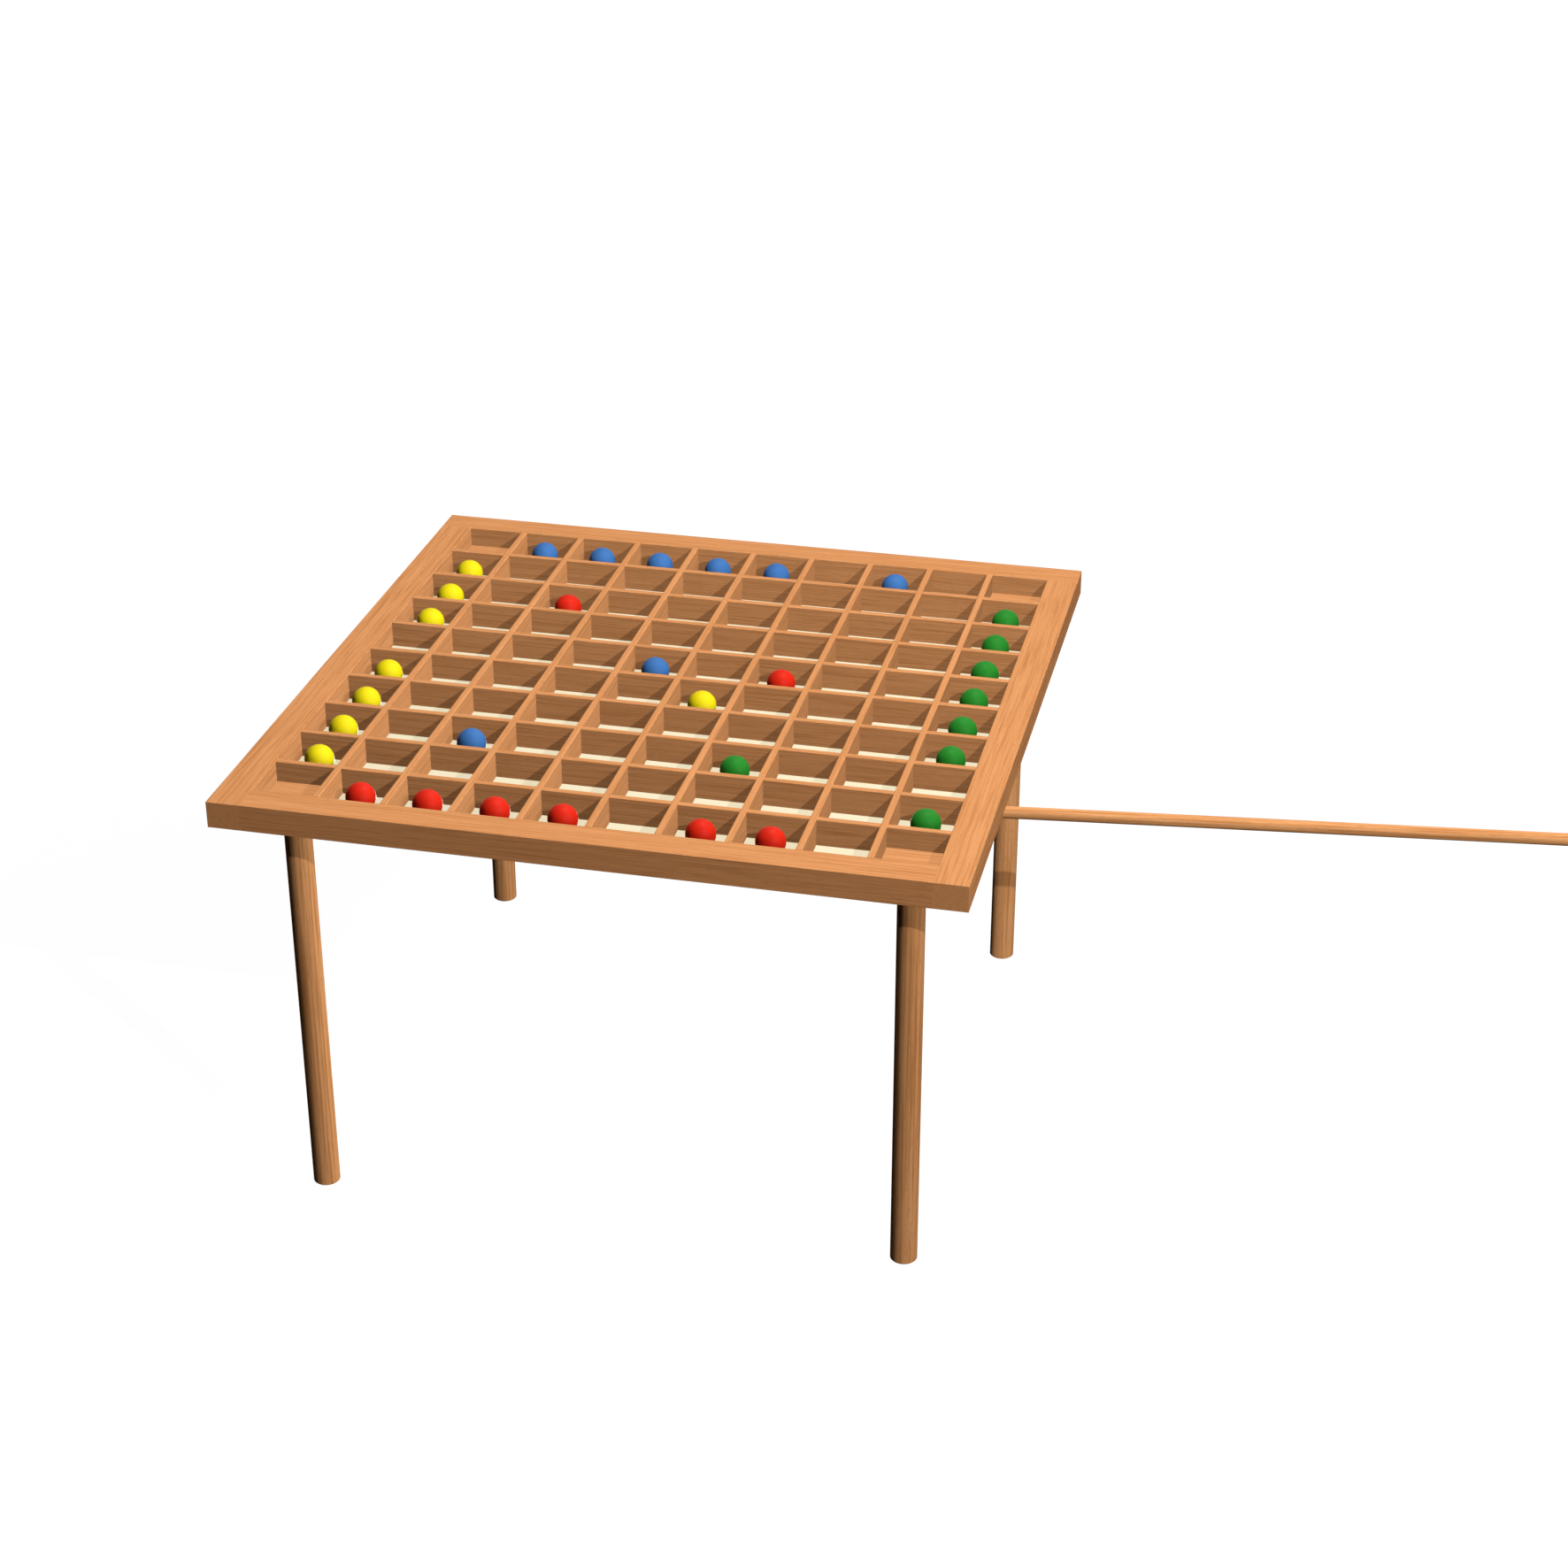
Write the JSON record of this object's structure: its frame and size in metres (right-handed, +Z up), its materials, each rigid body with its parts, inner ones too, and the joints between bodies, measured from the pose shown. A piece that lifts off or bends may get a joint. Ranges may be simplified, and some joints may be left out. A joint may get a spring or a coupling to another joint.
{
  "type": "tabletop billiard game",
  "caption": "Square wooden game table: an open grid of cells over a stretched membrane floor on round legs, with small coloured balls and a stick that knocks the membrane from below.",
  "frame": {"origin": "on the floor under the middle of the square table, midway between the four feet", "axes": "+X to the right, the side the cue comes in from; +Y to the back; +Z up, away from the floor"},
  "size_m": [0.9448, 0.5, 0.3181],
  "materials": {
    "rail_wood": "planed hardwood, satin oil finish",
    "strip_wood": "planed thin strip, satin oil finish",
    "plate_wood": "planed thin board, satin oil finish",
    "leg_wood": "round hardwood bar, satin oil finish",
    "cue_wood": "round hardwood stick, satin oil finish",
    "dowel_wood": "glued beech dowel",
    "membrane_cloth": "stretched elastic cloth, matt",
    "screw_steel": "zinc plated",
    "staple_steel": "galvanised wire",
    "ball_red": "satin",
    "ball_blue": "satin",
    "ball_yellow": "satin",
    "ball_green": "satin"
  },
  "bodies": {
    "table": {"rail_front": "rail_wood", "rail_back": "rail_wood", "rail_left": "rail_wood", "rail_right": "rail_wood", "long_divider_1": "strip_wood", "long_divider_2": "strip_wood", "long_divider_3": "strip_wood", "long_divider_4": "strip_wood", "long_divider_5": "strip_wood", "long_divider_6": "strip_wood", "long_divider_7": "strip_wood", "long_divider_8": "strip_wood", "long_divider_9": "strip_wood", "cross_dividers": "strip_wood", "corner_plate_front_left": "plate_wood", "corner_plate_front_right": "plate_wood", "corner_plate_back_left": "plate_wood", "corner_plate_back_right": "plate_wood", "leg_front_left": "leg_wood", "leg_front_right": "leg_wood", "leg_back_left": "leg_wood", "leg_back_right": "leg_wood", "corner_dowels": "dowel_wood", "leg_screws": "screw_steel", "membrane": "membrane_cloth", "membrane_staples": "staple_steel"},
    "cue": {"cue": "cue_wood"},
    "ball_red_1": {"ball_red_1": "ball_red"},
    "ball_red_2": {"ball_red_2": "ball_red"},
    "ball_red_3": {"ball_red_3": "ball_red"},
    "ball_red_4": {"ball_red_4": "ball_red"},
    "ball_red_5": {"ball_red_5": "ball_red"},
    "ball_red_6": {"ball_red_6": "ball_red"},
    "ball_yellow_1": {"ball_yellow_1": "ball_yellow"},
    "ball_green_1": {"ball_green_1": "ball_green"},
    "ball_yellow_2": {"ball_yellow_2": "ball_yellow"},
    "ball_blue_1": {"ball_blue_1": "ball_blue"},
    "ball_green_2": {"ball_green_2": "ball_green"},
    "ball_yellow_3": {"ball_yellow_3": "ball_yellow"},
    "ball_green_3": {"ball_green_3": "ball_green"},
    "ball_yellow_4": {"ball_yellow_4": "ball_yellow"},
    "ball_yellow_5": {"ball_yellow_5": "ball_yellow"},
    "ball_green_4": {"ball_green_4": "ball_green"},
    "ball_blue_2": {"ball_blue_2": "ball_blue"},
    "ball_red_7": {"ball_red_7": "ball_red"},
    "ball_green_5": {"ball_green_5": "ball_green"},
    "ball_yellow_6": {"ball_yellow_6": "ball_yellow"},
    "ball_green_6": {"ball_green_6": "ball_green"},
    "ball_yellow_7": {"ball_yellow_7": "ball_yellow"},
    "ball_red_8": {"ball_red_8": "ball_red"},
    "ball_green_7": {"ball_green_7": "ball_green"},
    "ball_yellow_8": {"ball_yellow_8": "ball_yellow"},
    "ball_green_8": {"ball_green_8": "ball_green"},
    "ball_blue_3": {"ball_blue_3": "ball_blue"},
    "ball_blue_4": {"ball_blue_4": "ball_blue"},
    "ball_blue_5": {"ball_blue_5": "ball_blue"},
    "ball_blue_6": {"ball_blue_6": "ball_blue"},
    "ball_blue_7": {"ball_blue_7": "ball_blue"},
    "ball_blue_8": {"ball_blue_8": "ball_blue"}
  },
  "joints": [
    {"name": "cue_strike", "type": "hinge", "parent": "table", "child": "cue", "pos_m": [0.63445, 0.01664, 0.25373], "axis": [-0.092, 0.9958, 0], "range_deg": [0, 5.92]},
    {"name": "ball_red_1_jump", "type": "slide", "parent": "table", "child": "ball_red_1", "axis": [0, 0, 1], "range_m": [0, 0.2]},
    {"name": "ball_red_2_jump", "type": "slide", "parent": "table", "child": "ball_red_2", "axis": [0, 0, 1], "range_m": [0, 0.2]},
    {"name": "ball_red_3_jump", "type": "slide", "parent": "table", "child": "ball_red_3", "axis": [0, 0, 1], "range_m": [0, 0.2]},
    {"name": "ball_red_4_jump", "type": "slide", "parent": "table", "child": "ball_red_4", "axis": [0, 0, 1], "range_m": [0, 0.2]},
    {"name": "ball_red_5_jump", "type": "slide", "parent": "table", "child": "ball_red_5", "axis": [0, 0, 1], "range_m": [0, 0.2]},
    {"name": "ball_red_6_jump", "type": "slide", "parent": "table", "child": "ball_red_6", "axis": [0, 0, 1], "range_m": [0, 0.2]},
    {"name": "ball_yellow_1_jump", "type": "slide", "parent": "table", "child": "ball_yellow_1", "axis": [0, 0, 1], "range_m": [0, 0.2]},
    {"name": "ball_green_1_jump", "type": "slide", "parent": "table", "child": "ball_green_1", "axis": [0, 0, 1], "range_m": [0, 0.2]},
    {"name": "ball_yellow_2_jump", "type": "slide", "parent": "table", "child": "ball_yellow_2", "axis": [0, 0, 1], "range_m": [0, 0.2]},
    {"name": "ball_blue_1_jump", "type": "slide", "parent": "table", "child": "ball_blue_1", "axis": [0, 0, 1], "range_m": [0, 0.2]},
    {"name": "ball_green_2_jump", "type": "slide", "parent": "table", "child": "ball_green_2", "axis": [0, 0, 1], "range_m": [0, 0.2]},
    {"name": "ball_yellow_3_jump", "type": "slide", "parent": "table", "child": "ball_yellow_3", "axis": [0, 0, 1], "range_m": [0, 0.2]},
    {"name": "ball_green_3_jump", "type": "slide", "parent": "table", "child": "ball_green_3", "axis": [0, 0, 1], "range_m": [0, 0.2]},
    {"name": "ball_yellow_4_jump", "type": "slide", "parent": "table", "child": "ball_yellow_4", "axis": [0, 0, 1], "range_m": [0, 0.2]},
    {"name": "ball_yellow_5_jump", "type": "slide", "parent": "table", "child": "ball_yellow_5", "axis": [0, 0, 1], "range_m": [0, 0.2]},
    {"name": "ball_green_4_jump", "type": "slide", "parent": "table", "child": "ball_green_4", "axis": [0, 0, 1], "range_m": [0, 0.2]},
    {"name": "ball_blue_2_jump", "type": "slide", "parent": "table", "child": "ball_blue_2", "axis": [0, 0, 1], "range_m": [0, 0.2]},
    {"name": "ball_red_7_jump", "type": "slide", "parent": "table", "child": "ball_red_7", "axis": [0, 0, 1], "range_m": [0, 0.2]},
    {"name": "ball_green_5_jump", "type": "slide", "parent": "table", "child": "ball_green_5", "axis": [0, 0, 1], "range_m": [0, 0.2]},
    {"name": "ball_yellow_6_jump", "type": "slide", "parent": "table", "child": "ball_yellow_6", "axis": [0, 0, 1], "range_m": [0, 0.2]},
    {"name": "ball_green_6_jump", "type": "slide", "parent": "table", "child": "ball_green_6", "axis": [0, 0, 1], "range_m": [0, 0.2]},
    {"name": "ball_yellow_7_jump", "type": "slide", "parent": "table", "child": "ball_yellow_7", "axis": [0, 0, 1], "range_m": [0, 0.2]},
    {"name": "ball_red_8_jump", "type": "slide", "parent": "table", "child": "ball_red_8", "axis": [0, 0, 1], "range_m": [0, 0.2]},
    {"name": "ball_green_7_jump", "type": "slide", "parent": "table", "child": "ball_green_7", "axis": [0, 0, 1], "range_m": [0, 0.2]},
    {"name": "ball_yellow_8_jump", "type": "slide", "parent": "table", "child": "ball_yellow_8", "axis": [0, 0, 1], "range_m": [0, 0.2]},
    {"name": "ball_green_8_jump", "type": "slide", "parent": "table", "child": "ball_green_8", "axis": [0, 0, 1], "range_m": [0, 0.2]},
    {"name": "ball_blue_3_jump", "type": "slide", "parent": "table", "child": "ball_blue_3", "axis": [0, 0, 1], "range_m": [0, 0.2]},
    {"name": "ball_blue_4_jump", "type": "slide", "parent": "table", "child": "ball_blue_4", "axis": [0, 0, 1], "range_m": [0, 0.2]},
    {"name": "ball_blue_5_jump", "type": "slide", "parent": "table", "child": "ball_blue_5", "axis": [0, 0, 1], "range_m": [0, 0.2]},
    {"name": "ball_blue_6_jump", "type": "slide", "parent": "table", "child": "ball_blue_6", "axis": [0, 0, 1], "range_m": [0, 0.2]},
    {"name": "ball_blue_7_jump", "type": "slide", "parent": "table", "child": "ball_blue_7", "axis": [0, 0, 1], "range_m": [0, 0.2]},
    {"name": "ball_blue_8_jump", "type": "slide", "parent": "table", "child": "ball_blue_8", "axis": [0, 0, 1], "range_m": [0, 0.2]}
  ]
}
